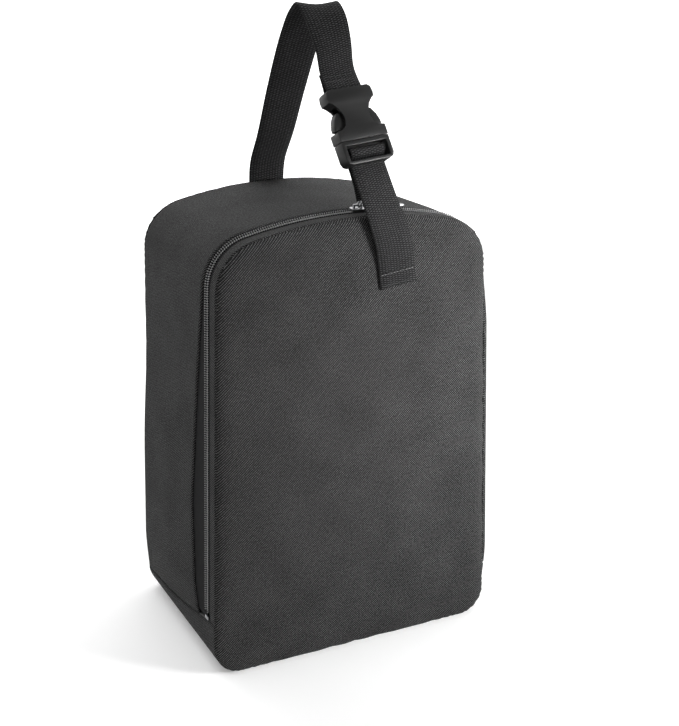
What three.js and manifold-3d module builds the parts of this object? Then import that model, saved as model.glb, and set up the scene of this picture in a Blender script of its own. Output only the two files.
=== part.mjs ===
// Shoe bag: an arched, foam-padded fabric bag with a zipped front flap and a webbing carry handle
// that closes with a side-release buckle. Millimetres, +Z up, +X to the right seen from the front,
// front face towards -Y. The origin is the middle of the flat base.
import * as THREE from "three";
import { mergeVertices } from "three/addons/utils/BufferGeometryUtils.js";
import Module from "manifold-3d";

const wasm = await Module();
wasm.setup();

// ---- driving dimensions ----
const BAG_HEIGHT = 346;
const SEAM_HALF_DEPTH = 77; // front and back seams stand this far from the middle
const BOTTOM_CORNER = { x: 96.7, z: 21, r: 21 };
const TOP_CORNER = { x: 70.7, z: 300.4, r: 37.6 };
const PANEL_BULGE = 4.2; // how far the padded front and back stand out past their seams
const BULGE_RUN = 10; // width of the rounded border of a padded panel
const GAP = 0.3; // clearance between neighbouring pieces

// Layers of the padded wall, as depths below the outer face.
const FABRIC = [0, 1.2];
const FOAM = [1.5, 5.5];
const LINING = [5.8, 6.6];
const TAPE = [1.5, 2.1];
const TEETH = [-0.8, 1.2];
const BINDING = [6.9, 10.4];

// Zip, measured along Y on the side wall.
const ZIP_Y = -60;
const COIL_GAP = 1.6; // free width between the two open halves of the coil
const COIL_WIDTH = 2.4;
const FLAP_FOLD_Z = 42; // the front flap folds down along this line
const STRIP_EDGE_Y = -65.6; // folded edge of the narrow strip between front seam and zip
const TEETH_BOTTOM_Z = 44;
const TAPE_UNDER_GUSSET = 7;
const STOP_BOTTOM_Z = 40.6;
const SEAM_ALLOWANCE = 0.15;

// Inside the shell: the foam plates' seam line, the back binding and the loose base board.
const FOAM_PLATE_INSET = 1.2;
const BINDING_Y = [68.2, 69.8];
const BOARD = { halfWidth: 88, halfDepth: 66, corner: 12, thickness: 2 };

// Webbing and its route, from the sewn end on the front to the sewn end on the back.
const WEB_WIDTH = 30;
const WEB_THICK = 1.5;
const FRONT_WEB_Y = -(SEAM_HALF_DEPTH + PANEL_BULGE + GAP + WEB_THICK / 2);
const BACK_WEB_Y = -FRONT_WEB_Y;

// Side-release buckle. Its own frame: x across, y to the back, z up the strap, zero at the mouth.
const MOUTH = new THREE.Vector3(11.6, -62.1, 398);
const BUCKLE_UP = new THREE.Vector3(-0.124, 0.48, 0.867).normalize();
const BUCKLE_TURN = THREE.MathUtils.degToRad(8);

// The handle turns in the hand: its twist at the top, and where it leaves its fold and reaches the
// top as shares of its length.
const HANDLE_TWIST = THREE.MathUtils.degToRad(-20);
const HANDLE_FOLD = 0.17;
const HANDLE_TOP = 0.36;

// Zip sliders, as distances from the middle of the crown.
const SLIDER_LEFT_X = 10;
const SLIDER_RIGHT_X = 25;
const LEFT_PULL_RAISED = THREE.MathUtils.degToRad(55);
const PULL_PIVOT_HEIGHT = 3.4; // above the bag's face, inside the slider's bridge
const PULL_THICKNESS = 1;

// ---- worked out from the driving dimensions ----
const crownDrop = BAG_HEIGHT - TOP_CORNER.z;
const CROWN_RADIUS =
  (TOP_CORNER.x ** 2 + crownDrop ** 2 - TOP_CORNER.r ** 2) / (2 * (crownDrop - TOP_CORNER.r));
const CROWN_CENTRE_Z = BAG_HEIGHT - CROWN_RADIUS;
const CROWN_ANGLE = Math.atan2(TOP_CORNER.z - CROWN_CENTRE_Z, TOP_CORNER.x);
const cornerStep = new THREE.Vector2(TOP_CORNER.x - BOTTOM_CORNER.x, TOP_CORNER.z - BOTTOM_CORNER.z);
const SIDE_ANGLE =
  Math.asin((BOTTOM_CORNER.r - TOP_CORNER.r) / cornerStep.length()) -
  Math.atan2(cornerStep.x, cornerStep.y);

// ---- materials ----
function finish(color, roughness, metalness = 0) {
  return new THREE.MeshStandardMaterial({ color, roughness, metalness });
}

const shellFabric = () => finish(0x3a3a3b, 0.9);
const liningFabric = () => finish(0x4a4b4e, 0.85);
const paddingFoam = () => finish(0x6b6b6b, 0.95);
const boardPlastic = () => finish(0x8f8f8c, 0.7);
const zipTape = () => finish(0x151516, 0.85);
const zipCoil = () => finish(0x2a2a2b, 0.45);
const nickel = () => finish(0xb9bbbe, 0.3, 1);
const webbing = () => finish(0x232324, 0.9);
const buckleNylon = () => finish(0x1d1d1e, 0.4);

// ---- solids ----
// A closed geometry as a solid that can be joined and cut.
function solid(geometry) {
  const bare = geometry.index ? geometry.toNonIndexed() : geometry.clone();
  bare.deleteAttribute("normal");
  bare.deleteAttribute("uv");
  const merged = mergeVertices(bare, 1e-4);
  const mesh = new wasm.Mesh({
    numProp: 3,
    vertProperties: new Float32Array(merged.attributes.position.array),
    triVerts: new Uint32Array(merged.index.array),
  });
  return new wasm.Manifold(mesh);
}

function geometryOf(body) {
  const mesh = body.getMesh();
  const geometry = new THREE.BufferGeometry();
  geometry.setAttribute("position", new THREE.BufferAttribute(mesh.vertProperties, 3));
  geometry.setIndex(new THREE.BufferAttribute(mesh.triVerts, 1));
  const flat = geometry.toNonIndexed();
  flat.computeVertexNormals();
  return flat;
}

const part = new THREE.Group();

function addPiece(name, body, material, parent = part) {
  const geometry = body.isBufferGeometry ? body : geometryOf(body);
  const mesh = new THREE.Mesh(geometry, material);
  mesh.name = name;
  parent.add(mesh);
  return mesh;
}

function box(x, y, z) {
  const geometry = new THREE.BoxGeometry(x[1] - x[0], y[1] - y[0], z[1] - z[0]);
  geometry.translate((x[0] + x[1]) / 2, (y[0] + y[1]) / 2, (z[0] + z[1]) / 2);
  return solid(geometry);
}

// A bar along X with the outline given in (y, z).
function sidePrism(points, halfLength) {
  const shape = new THREE.Shape(points.map(([y, z]) => new THREE.Vector2(y, z)));
  const geometry = new THREE.ExtrudeGeometry(shape, { depth: 2 * halfLength, bevelEnabled: false });
  const alongX = new THREE.Matrix4().makeBasis(
    new THREE.Vector3(0, 1, 0),
    new THREE.Vector3(0, 0, 1),
    new THREE.Vector3(1, 0, 0),
  );
  geometry.applyMatrix4(alongX);
  geometry.translate(-halfLength, 0, 0);
  return solid(geometry);
}

// A plate with the outline given in (x, z), running through Y from y[0] to y[1].
function frontPlate(shape, y, curveSegments = 4) {
  const depth = y[1] - y[0];
  const geometry = new THREE.ExtrudeGeometry(shape, { depth, bevelEnabled: false, curveSegments });
  geometry.rotateX(Math.PI / 2);
  geometry.translate(0, y[1], 0);
  return solid(geometry);
}

// The bag's arch: flat base, round corners, leaning sides and a shallow crown, all drawn in by inset.
function archShape(inset) {
  const low = BOTTOM_CORNER.r - inset;
  const high = TOP_CORNER.r - inset;
  const shape = new THREE.Shape();
  shape.moveTo(-BOTTOM_CORNER.x, inset);
  shape.lineTo(BOTTOM_CORNER.x, inset);
  shape.absarc(BOTTOM_CORNER.x, BOTTOM_CORNER.z, low, -Math.PI / 2, SIDE_ANGLE);
  shape.absarc(TOP_CORNER.x, TOP_CORNER.z, high, SIDE_ANGLE, CROWN_ANGLE);
  shape.absarc(0, CROWN_CENTRE_Z, CROWN_RADIUS - inset, CROWN_ANGLE, Math.PI - CROWN_ANGLE);
  shape.absarc(-TOP_CORNER.x, TOP_CORNER.z, high, Math.PI - CROWN_ANGLE, Math.PI - SIDE_ANGLE);
  shape.absarc(-BOTTOM_CORNER.x, BOTTOM_CORNER.z, low, Math.PI - SIDE_ANGLE, 1.5 * Math.PI);
  return shape;
}

// The whole bag as one solid, drawn in by inset, with its padded front and back bulging.
function bagSolid(inset) {
  const halfDepth = SEAM_HALF_DEPTH - inset;
  const geometry = new THREE.ExtrudeGeometry(archShape(inset), {
    depth: 2 * halfDepth,
    curveSegments: 4,
    bevelThickness: PANEL_BULGE,
    bevelSize: BULGE_RUN,
    bevelOffset: -BULGE_RUN,
    bevelSegments: 3,
  });
  geometry.rotateX(Math.PI / 2);
  geometry.translate(0, halfDepth, 0);
  return solid(geometry);
}

// One layer of the wall, all round the bag.
const layer = ([outer, inner]) => bagSolid(outer).subtract(bagSolid(inner));

// ---- regions of the wall, as bars along X ----
const REACH = 200;
const FAR_Z = 500;
const FLOOR_Z = -1;
const seamY = SEAM_HALF_DEPTH - SEAM_ALLOWANCE;
const insideSeamY = seamY - GAP;
const foldTop = FLAP_FOLD_Z + SEAM_ALLOWANCE;
const foldBottom = FLAP_FOLD_Z - SEAM_ALLOWANCE;
const coilInnerY = [ZIP_Y - COIL_GAP / 2 - COIL_WIDTH, ZIP_Y - COIL_GAP / 2];
const coilOuterY = [ZIP_Y + COIL_GAP / 2, ZIP_Y + COIL_GAP / 2 + COIL_WIDTH];

const slab = (y, z) => box([-REACH, REACH], y, z);

// Front edge of the gusset: close to the coil round the arch, further back down the sides.
const GUSSET_EDGE = [
  [-52, FAR_Z],
  [-52, 312],
  [-44, 262],
  [-37, 211],
  [-29, 124],
  [-33, 60],
  [-42, 30],
];

// Top edge of the bottom band, from the front seam to the back seam.
const BAND_EDGE = [
  [-insideSeamY, foldBottom],
  [-66, 40.4],
  [-57, 38],
  [-44, 35.6],
  [-20, 31],
  [27, 24.5],
  [insideSeamY, 19.5],
];

function bandEdgeAcross(lift) {
  const frontZ = BAND_EDGE[0][1];
  const backZ = BAND_EDGE[BAND_EDGE.length - 1][1];
  return [[-REACH, frontZ], ...BAND_EDGE, [REACH, backZ]].map(([y, z]) => [y, z + lift]);
}

function aboveBand() {
  return sidePrism([...bandEdgeAcross(GAP), [REACH, FAR_Z], [-REACH, FAR_Z]], REACH);
}

function belowBand() {
  return sidePrism([[-REACH, -REACH], [REACH, -REACH], ...bandEdgeAcross(0).reverse()], REACH);
}

function behindGussetEdge(shift, backY) {
  const edge = GUSSET_EDGE.map(([y, z]) => [y + shift, z]);
  return sidePrism([...edge, [backY, 0], [backY, FAR_Z]], REACH);
}

function zipToGussetEdge(frontY, shift) {
  const edge = GUSSET_EDGE.map(([y, z]) => [y + shift, z]);
  return sidePrism([...edge, [frontY, 30], [frontY, FAR_Z]], REACH);
}

const innerY = SEAM_HALF_DEPTH - LINING[0];
const foamPlateY = SEAM_HALF_DEPTH - FOAM_PLATE_INSET;
const tapeEndShift = TAPE_UNDER_GUSSET + GAP;

// ---- shell: everything that stays with the bag when the front is unzipped ----
function addShellFabric() {
  const fabric = layer(FABRIC);
  const gusset = fabric.intersect(aboveBand()).intersect(behindGussetEdge(0, insideSeamY));
  const band = fabric.intersect(belowBand()).intersect(slab([-insideSeamY, insideSeamY], [FLOOR_Z, FAR_Z]));
  const foot = fabric.intersect(slab([-REACH, -seamY], [FLOOR_Z, foldBottom]));
  addPiece("back_panel", fabric.intersect(slab([seamY, REACH], [FLOOR_Z, FAR_Z])), shellFabric());
  addPiece("side_gusset", gusset, shellFabric());
  addPiece("bottom_band", band, shellFabric());
  addPiece("front_panel_foot", foot, shellFabric());
}

function addShellFoam() {
  const foam = layer(FOAM);
  const padded = bagSolid(FOAM[0]);
  const gusset = foam
    .intersect(aboveBand())
    .intersect(behindGussetEdge(tapeEndShift, foamPlateY - GAP));
  const base = foam.intersect(belowBand()).intersect(slab([-innerY, foamPlateY - GAP], [FLOOR_Z, FAR_Z]));
  const foot = padded.intersect(slab([-REACH, -foamPlateY], [FLOOR_Z, foldBottom - GAP]));
  addPiece("back_foam", padded.intersect(slab([foamPlateY, REACH], [FLOOR_Z, FAR_Z])), paddingFoam());
  addPiece("gusset_foam", gusset, paddingFoam());
  addPiece("base_foam", base, paddingFoam());
  addPiece("foot_foam", foot, paddingFoam());
}

function addShellLining() {
  const lining = layer(LINING);
  const gusset = lining.intersect(aboveBand()).intersect(behindGussetEdge(tapeEndShift, innerY - GAP));
  const base = lining.intersect(belowBand()).intersect(slab([-REACH, innerY - GAP], [FLOOR_Z, foldBottom]));
  addPiece("back_lining", lining.intersect(slab([innerY, REACH], [FLOOR_Z, FAR_Z])), liningFabric());
  addPiece("gusset_lining", gusset, liningFabric());
  addPiece("base_lining", base, liningFabric());
  const binding = layer(BINDING).intersect(slab(BINDING_Y, [FLOOR_Z, FAR_Z]));
  addPiece("back_seam_binding", binding, webbing());
}

function addBaseBoard() {
  const { halfWidth, halfDepth, corner, thickness } = BOARD;
  const x = halfWidth - corner;
  const y = halfDepth - corner;
  const outline = new THREE.Shape();
  outline.moveTo(-x, -halfDepth);
  outline.absarc(x, -y, corner, -Math.PI / 2, 0);
  outline.absarc(x, y, corner, 0, Math.PI / 2);
  outline.absarc(-x, y, corner, Math.PI / 2, Math.PI);
  outline.absarc(-x, -y, corner, Math.PI, 1.5 * Math.PI);
  const geometry = new THREE.ExtrudeGeometry(outline, {
    depth: thickness,
    bevelEnabled: false,
    curveSegments: 3,
  });
  geometry.translate(0, 0, LINING[1] + GAP);
  addPiece("base_board", solid(geometry), boardPlastic());
}

// ---- front flap: panel, padding, lining and the strip that carries half of the zip ----
function addFlap() {
  const fabric = layer(FABRIC);
  const panel = fabric.intersect(slab([-REACH, -seamY], [foldTop, FAR_Z]));
  const strip = fabric.intersect(slab([-insideSeamY, STRIP_EDGE_Y], [foldTop, FAR_Z]));
  const foam = bagSolid(FOAM[0]).intersect(slab([-REACH, -foamPlateY], [foldTop + GAP, FAR_Z]));
  const inner = layer(LINING).intersect(slab([-REACH, -innerY], [foldTop + GAP, FAR_Z]));
  addPiece("front_panel", panel, shellFabric());
  addPiece("flap_edge_strip", strip, shellFabric());
  addPiece("front_foam", foam, paddingFoam());
  addPiece("front_lining", inner, liningFabric());
}

// ---- zip: two tapes, two coil halves and the stops at their lower ends ----
function addZip() {
  const tape = layer(TAPE);
  const teeth = layer(TEETH);
  const flapSide = slab([-SEAM_HALF_DEPTH + TAPE[0] + SEAM_ALLOWANCE, coilInnerY[1]], [foldTop + GAP, FAR_Z]);
  const shellSide = zipToGussetEdge(coilOuterY[0], TAPE_UNDER_GUSSET).intersect(aboveBand());
  addPiece("zip_inner_tape", tape.intersect(flapSide), zipTape());
  addPiece("zip_outer_tape", tape.intersect(shellSide), zipTape());
  addPiece("zip_inner_teeth", teeth.intersect(slab(coilInnerY, [TEETH_BOTTOM_Z, FAR_Z])), zipCoil());
  addPiece("zip_outer_teeth", teeth.intersect(slab(coilOuterY, [TEETH_BOTTOM_Z, FAR_Z])), zipCoil());
  const stopHeights = [STOP_BOTTOM_Z, TEETH_BOTTOM_Z - 2 * GAP];
  const stops = teeth.intersect(slab([coilInnerY[0], coilOuterY[1]], stopHeights));
  const leftHalf = box([-REACH, 0], [-REACH, REACH], stopHeights);
  addPiece("zip_end_stop_left", stops.intersect(leftHalf), nickel());
  addPiece("zip_end_stop_right", stops.subtract(leftHalf), nickel());
}

// A slider in its own frame: x along the zip, y across it, z out of the bag's face.
function sliderBody() {
  const outline = new THREE.Shape();
  outline.moveTo(-5.5, -2.6);
  outline.lineTo(-3.8, -4.9);
  outline.lineTo(3.6, -4.9);
  outline.quadraticCurveTo(5.8, -4, 5.8, 0);
  outline.quadraticCurveTo(5.8, 4, 3.6, 4.9);
  outline.lineTo(-3.8, 4.9);
  outline.lineTo(-5.5, 2.6);
  const plate = (low, thickness) => {
    const geometry = new THREE.ExtrudeGeometry(outline, {
      depth: thickness,
      bevelEnabled: false,
      curveSegments: 2,
    });
    geometry.translate(0, 0, low);
    return solid(geometry);
  };
  const top = plate(1.1, 1.3);
  const bottom = plate(-3.6, 1.2);
  const post = box([1.5, 4.2], [-0.5, 0.5], [-3, 2]);
  const flanges = [-1, 1].map((s) => box([-3.6, 3.4], [s * 4.45 - 0.45, s * 4.45 + 0.45], [-1.2, 1.6]));
  const bridge = box([-3.6, 3.6], [-1, 1], [2, 5.3]).subtract(box([-2.4, 2.4], [-2, 2], [2.4, 4.3]));
  return top.add(bottom).add(post).add(flanges[0]).add(flanges[1]).add(bridge);
}

// A pull tab in the slider's frame, lying flat along +x with its end bar through the bridge.
function pullTab() {
  const tab = new THREE.Shape();
  tab.moveTo(-0.5, -2.7);
  tab.lineTo(6, -2.7);
  tab.lineTo(9, -1.9);
  tab.lineTo(17, -2.6);
  tab.absarc(20.6, 0, 2.6, -Math.PI / 2, Math.PI / 2);
  tab.lineTo(17, 2.6);
  tab.lineTo(9, 1.9);
  tab.lineTo(6, 2.7);
  tab.lineTo(-0.5, 2.7);
  const eye = new THREE.Path();
  eye.moveTo(0.5, -1.4);
  eye.lineTo(0.5, 1.4);
  eye.lineTo(4.6, 1.4);
  eye.lineTo(4.6, -1.4);
  tab.holes.push(eye);
  const geometry = new THREE.ExtrudeGeometry(tab, {
    depth: PULL_THICKNESS,
    bevelEnabled: false,
    curveSegments: 3,
  });
  geometry.translate(0, 0, -PULL_THICKNESS / 2);
  return solid(geometry);
}

function addSlider(side, x, facing, raised) {
  const onCrown = new THREE.Group();
  onCrown.position.set(0, ZIP_Y, CROWN_CENTRE_Z);
  onCrown.rotation.y = Math.asin(x / CROWN_RADIUS);
  part.add(onCrown);
  const seat = new THREE.Group();
  seat.position.z = CROWN_RADIUS;
  seat.rotation.z = facing;
  onCrown.add(seat);
  addPiece("zip_slider_" + side, sliderBody(), nickel(), seat);
  const pivot = new THREE.Group();
  pivot.position.set(0, 0, CROWN_RADIUS + PULL_PIVOT_HEIGHT);
  pivot.rotation.y = -raised;
  onCrown.add(pivot);
  addPiece("zip_pull_" + side, pullTab(), nickel(), pivot);
}

// ---- webbing ----
// Flat webbing along a curve. acrossAt(t) gives the direction of its width at each place.
function ribbon(curve, steps, acrossAt) {
  const geometry = new THREE.BoxGeometry(WEB_WIDTH, WEB_THICK, 1, 1, 1, steps);
  const position = geometry.getAttribute("position");
  const point = new THREE.Vector3();
  const along = new THREE.Vector3();
  const across = new THREE.Vector3();
  const out = new THREE.Vector3();
  for (let i = 0; i < position.count; i += 1) {
    const t = THREE.MathUtils.clamp(position.getZ(i) + 0.5, 0, 1);
    curve.getPointAt(t, point);
    curve.getTangentAt(t, along);
    across.copy(acrossAt(t)).addScaledVector(along, -along.dot(acrossAt(t))).normalize();
    out.crossVectors(along, across);
    point.addScaledVector(across, position.getX(i)).addScaledVector(out, position.getY(i));
    position.setXYZ(i, point.x, point.y, point.z);
  }
  return solid(geometry);
}

const buckleFrame = new THREE.Matrix4();
const buckleAcross = new THREE.Vector3(Math.cos(BUCKLE_TURN), Math.sin(BUCKLE_TURN), 0);
buckleAcross.addScaledVector(BUCKLE_UP, -BUCKLE_UP.dot(buckleAcross)).normalize();
const buckleBack = new THREE.Vector3().crossVectors(BUCKLE_UP, buckleAcross);
buckleFrame.makeBasis(buckleAcross, buckleBack, BUCKLE_UP).setPosition(MOUTH);

const world = (x, y, z) => new THREE.Vector3(x, y, z);
const onBuckle = (y, z) => new THREE.Vector3(0, y, z).applyMatrix4(buckleFrame);
const routed = (points) => new THREE.CatmullRomCurve3(points, false, "centripetal");
const turning = (from, to) => (t) => from.clone().lerp(to, THREE.MathUtils.smoothstep(t, 0, 1));
const facing = (angle) => world(Math.cos(angle), Math.sin(angle), 0);

// Both loose ends start just clear of the sewn ends and hinge on their outer faces.
const FRONT_END_LOW = world(32.6, FRONT_WEB_Y, 293);
const FRONT_END_TOP = world(31.1, FRONT_WEB_Y, 305);
const frontLean = FRONT_END_TOP.clone().sub(FRONT_END_LOW).normalize();
const frontAcross = new THREE.Vector3(0, 1, 0).cross(frontLean).normalize();
const BACK_END_TOP = world(-1, BACK_WEB_Y, 336);
const BACK_END_LOW = world(-1, BACK_WEB_Y, 298);

// The lower webbing: up the front, behind the lower bar, over the inner bar, tail down behind.
function frontStrapRoute() {
  const start = FRONT_END_TOP.clone().addScaledVector(frontLean, GAP);
  const leaving = FRONT_END_TOP.clone().addScaledVector(frontLean, 9).add(world(0, -GAP, 0));
  const free = [start, leaving, world(26.8, FRONT_WEB_Y - 1.1, 328), world(20.2, FRONT_WEB_Y + 0.5, 349)];
  const threaded = [
    [2.4, -28],
    [2.3, -18],
    [1.9, -14.3],
    [-0.6, -12.2],
    [-3, -10.6],
    [-3.5, -8.6],
    [-2.7, -6.4],
    [-0.4, -5.3],
    [2.4, -5.6],
    [4.6, -7.8],
    [5.1, -12],
    [5.2, -20],
    [6.1, -30],
    [8.6, -41],
  ];
  return routed([...free, ...threaded.map(([y, z]) => onBuckle(y, z))]);
}

// The handle webbing: from its fold round the female bar, over the hand gap, down to the back.
function handleRoute() {
  const folded = [
    [1.9, 52.5],
    [2.1, 46],
    [3.1, 39.5],
    [3.4, 35.2],
    [2.8, 33.2],
    [1, 32.4],
    [-0.8, 33.2],
    [-1.4, 35.2],
    [-1.1, 39.5],
    [-0.2, 46],
    [-0.1, 54],
  ];
  const free = [
    world(3.6, -32.6, 463),
    world(1.2, -24.2, 482),
    world(-0.4, -14.5, 488.5),
    world(-1.6, -4, 482),
    world(-2.6, 11, 463),
    world(-3, 36, 423),
    world(-2.6, 58, 386),
    world(-1.8, 77.5, 359),
    BACK_END_TOP.clone().add(world(0, 0.3, 8)),
    BACK_END_TOP.clone().add(world(0, 0, GAP)),
  ];
  return routed([...folded.map(([y, z]) => onBuckle(y, z)), ...free]);
}

function addWebbing() {
  const straight = (from, to) => new THREE.LineCurve3(from, to);
  const level = new THREE.Vector3(1, 0, 0);
  const frontEnd = ribbon(straight(FRONT_END_LOW, FRONT_END_TOP), 1, () => frontAcross);
  addPiece("strap_front_end", frontEnd, webbing());
  const backEnd = ribbon(straight(BACK_END_TOP, BACK_END_LOW), 1, () => level);
  addPiece("strap_back_end", backEnd, webbing());
  const lowerTurn = (t) => turning(frontAcross, buckleAcross)(Math.min(1, t * 2.4));
  addPiece("front_strap", ribbon(frontStrapRoute(), 60, lowerTurn), webbing());
  const twisted = facing(HANDLE_TWIST);
  const upperTurn = (t) =>
    t < HANDLE_TOP
      ? turning(buckleAcross, twisted)((t - HANDLE_FOLD) / (HANDLE_TOP - HANDLE_FOLD))
      : turning(twisted, level)((t - HANDLE_TOP) / (1 - HANDLE_TOP));
  addPiece("handle_strap", ribbon(handleRoute(), 70, upperTurn), webbing());
}

// ---- side-release buckle ----
function barAcross(y, z, radius, halfLength) {
  const geometry = new THREE.CylinderGeometry(radius, radius, 2 * halfLength, 10);
  geometry.rotateZ(Math.PI / 2);
  geometry.translate(0, y, z);
  return solid(geometry);
}

// Mirrors a list of (x, z) points, bottom to top on the right, into a closed outline.
function mirroredShape(right) {
  const left = [...right].reverse().map(([x, z]) => [-x, z]);
  return new THREE.Shape([...right, ...left].map(([x, z]) => new THREE.Vector2(x, z)));
}

function maleBody() {
  const outline = [
    [16.5, -17.6],
    [19.4, -16.4],
    [20.8, -13.6],
    [20.8, -0.4],
  ];
  const slot = 15.8;
  const frame = frontPlate(mirroredShape(outline), [-5.2, 5.2]);
  const window = box([-slot, slot], [-9, 9], [-14.2, -3.8]);
  const behindLowerBar = box([-slot, slot], [0.6, 9], [-20, -13]);
  const innerBar = barAcross(-0.6, -8.6, 1.5, slot + 1);
  const tongue = box([-2.2, 2.2], [-1.6, 1.6], [-1, 22]);
  return frame.subtract(window).subtract(behindLowerBar).add(innerBar).add(tongue);
}

function prong(side) {
  const arm = [
    [8.6, GAP],
    [13.6, GAP],
    [15.6, 6],
    [18.4, 8.6],
    [20.4, 9],
    [20.2, 12],
    [18.6, 17],
    [15.4, 21.6],
    [12, 22.4],
    [10.4, 20.5],
    [10.2, 12],
    [9.2, 5],
  ];
  const points = arm.map(([x, z]) => new THREE.Vector2(side * x, z));
  return frontPlate(new THREE.Shape(points), [-2.9, 2.9]);
}

function femaleBody() {
  const plateOutline = [
    [20.8, 0],
    [20.8, 7.4],
    [15.6, 8.4],
    [12.2, 11],
    [10.8, 15.5],
    [11.4, 20],
    [13.6, 24.4],
    [17, 27.8],
    [19.6, 29.4],
    [20, 33],
    [19.2, 36.8],
    [17, 38.4],
  ];
  const shape = mirroredShape(plateOutline);
  const whole = frontPlate(shape, [-5.5, 5.5]);
  const cavity = box([-18.6, 18.6], [-3.3, 3.3], [-1, 25.8]);
  const sideWindows = box([-30, 30], [-3.3, 3.3], [7.4, 25.8]);
  const webSlot = box([-15.8, 15.8], [-3.5, 9], [29.6, 50]);
  const bar = barAcross(1, 35.2, 1.3, 16.5);
  return whole.subtract(cavity).subtract(sideWindows).subtract(webSlot).add(bar);
}

function addBuckle() {
  const seat = new THREE.Group();
  seat.applyMatrix4(buckleFrame);
  part.add(seat);
  addPiece("buckle_male", maleBody(), buckleNylon(), seat);
  addPiece("prong_left", prong(-1), buckleNylon(), seat);
  addPiece("prong_right", prong(1), buckleNylon(), seat);
  addPiece("buckle_female", femaleBody(), buckleNylon(), seat);
}

addShellFabric();
addShellFoam();
addShellLining();
addBaseBoard();
addFlap();
addZip();
addSlider("left", SLIDER_LEFT_X, Math.PI, LEFT_PULL_RAISED);
addSlider("right", SLIDER_RIGHT_X, 0, 0);
addWebbing();
addBuckle();

export default part;
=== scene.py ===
import math

import bmesh
import bpy
import numpy as np
from mathutils import Matrix, Vector, noise


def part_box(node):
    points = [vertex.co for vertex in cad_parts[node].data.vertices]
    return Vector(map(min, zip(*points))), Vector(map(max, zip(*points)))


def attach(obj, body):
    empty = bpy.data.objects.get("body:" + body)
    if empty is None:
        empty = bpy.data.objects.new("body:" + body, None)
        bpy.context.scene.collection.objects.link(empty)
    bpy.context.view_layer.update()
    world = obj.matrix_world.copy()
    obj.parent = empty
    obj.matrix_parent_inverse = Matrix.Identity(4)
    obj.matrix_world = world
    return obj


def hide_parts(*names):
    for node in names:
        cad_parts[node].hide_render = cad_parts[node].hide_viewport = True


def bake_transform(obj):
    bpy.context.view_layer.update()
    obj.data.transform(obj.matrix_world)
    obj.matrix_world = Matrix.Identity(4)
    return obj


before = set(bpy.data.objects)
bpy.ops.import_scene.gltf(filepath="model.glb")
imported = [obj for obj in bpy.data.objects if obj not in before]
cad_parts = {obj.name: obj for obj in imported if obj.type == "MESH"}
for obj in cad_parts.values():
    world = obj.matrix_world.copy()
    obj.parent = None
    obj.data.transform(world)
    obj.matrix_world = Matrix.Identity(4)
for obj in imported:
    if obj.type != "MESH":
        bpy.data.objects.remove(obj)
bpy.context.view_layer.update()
MM = 0.001

# ---- Camera ----
# A short telephoto a little to the left of the bag and above it, aimed slightly down.
LENS_MM = 68.43
camera_place = Vector((-433.9, -937.6, 580.9)) * MM
yaw = math.radians(26.07)
pitch = math.radians(19.72)
ahead = Vector((math.sin(yaw) * math.cos(pitch), math.cos(yaw) * math.cos(pitch), -math.sin(pitch)))
camera_data = bpy.data.cameras.new("camera")
camera_data.lens = LENS_MM
camera = bpy.data.objects.new("camera", camera_data)
camera.location = camera_place
camera.rotation_mode = "QUATERNION"
camera.rotation_quaternion = ahead.to_track_quat("-Z", "Y")
bpy.context.scene.collection.objects.link(camera)
bpy.context.scene.camera = camera
bpy.context.scene.view_settings.view_transform = "Standard"


# ---- Studio ----
# A pale floor in front of a lit white backdrop. A near softbox on the right rakes across the
# padded front, a broad one hangs over the top and a weak one stands on the left.
def srgb(hex_colour):
    """A hex colour as linear red, green, blue and alpha."""
    parts = [int(hex_colour[i:i + 2], 16) / 255 for i in (1, 3, 5)]
    return [c / 12.92 if c <= 0.04045 else ((c + 0.055) / 1.055) ** 2.4 for c in parts] + [1.0]


def add_node(tree, kind, settings=None, inputs=None):
    """One shader node with its settings, and each input set to a value or linked to a socket."""
    made = tree.nodes.new(kind)
    for name, value in (settings or {}).items():
        setattr(made, name, value)
    for name, value in (inputs or {}).items():
        socket = made.inputs[name]
        if isinstance(value, bpy.types.NodeSocket):
            tree.links.new(value, socket)
        else:
            socket.default_value = value
    return made


def new_material(name, roughness):
    """A material with one Principled shader. Returns the material, its tree and the shader."""
    material = bpy.data.materials.new(name)
    material.use_nodes = True
    tree = material.node_tree
    shader = tree.nodes["Principled BSDF"]
    shader.inputs["Roughness"].default_value = roughness
    return material, tree, shader


def softbox(name, place, aim, size, power, spread=180):
    data = bpy.data.lights.new(name, "AREA")
    data.shape = "RECTANGLE"
    data.size, data.size_y = size
    data.energy = power
    data.spread = math.radians(spread)
    light = bpy.data.objects.new(name, data)
    light.location = place
    light.rotation_mode = "QUATERNION"
    light.rotation_quaternion = (Vector(aim) - Vector(place)).to_track_quat("-Z", "Y")
    bpy.context.scene.collection.objects.link(light)


softbox("key_right", (0.36, -0.42, 0.34), (0.09, -0.08, 0.23), (0.2, 0.36), 1.15, 70)
softbox("over_top", (-0.15, 0.1, 1.5), (0.0, 0.0, 0.2), (1.4, 1.4), 14)
softbox("fill_left", (-0.9, 0.1, 0.9), (-0.1, 0.0, 0.3), (0.5, 0.5), 1.6)

world = bpy.data.worlds.new("studio")
world.use_nodes = True
world.node_tree.nodes["Background"].inputs["Color"].default_value = srgb("#ffffff")
world.node_tree.nodes["Background"].inputs["Strength"].default_value = 0.08
bpy.context.scene.world = world


def stage_plane(name, size, turn, place, material):
    bm = bmesh.new()
    bmesh.ops.create_grid(bm, x_segments=1, y_segments=1, size=size)
    bmesh.ops.transform(bm, matrix=Matrix.Translation(place) @ turn, verts=bm.verts)
    mesh = bpy.data.meshes.new(name)
    bm.to_mesh(mesh)
    bm.free()
    mesh.materials.append(material)
    plane = bpy.data.objects.new(name, mesh)
    bpy.context.scene.collection.objects.link(plane)
    return plane


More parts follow.
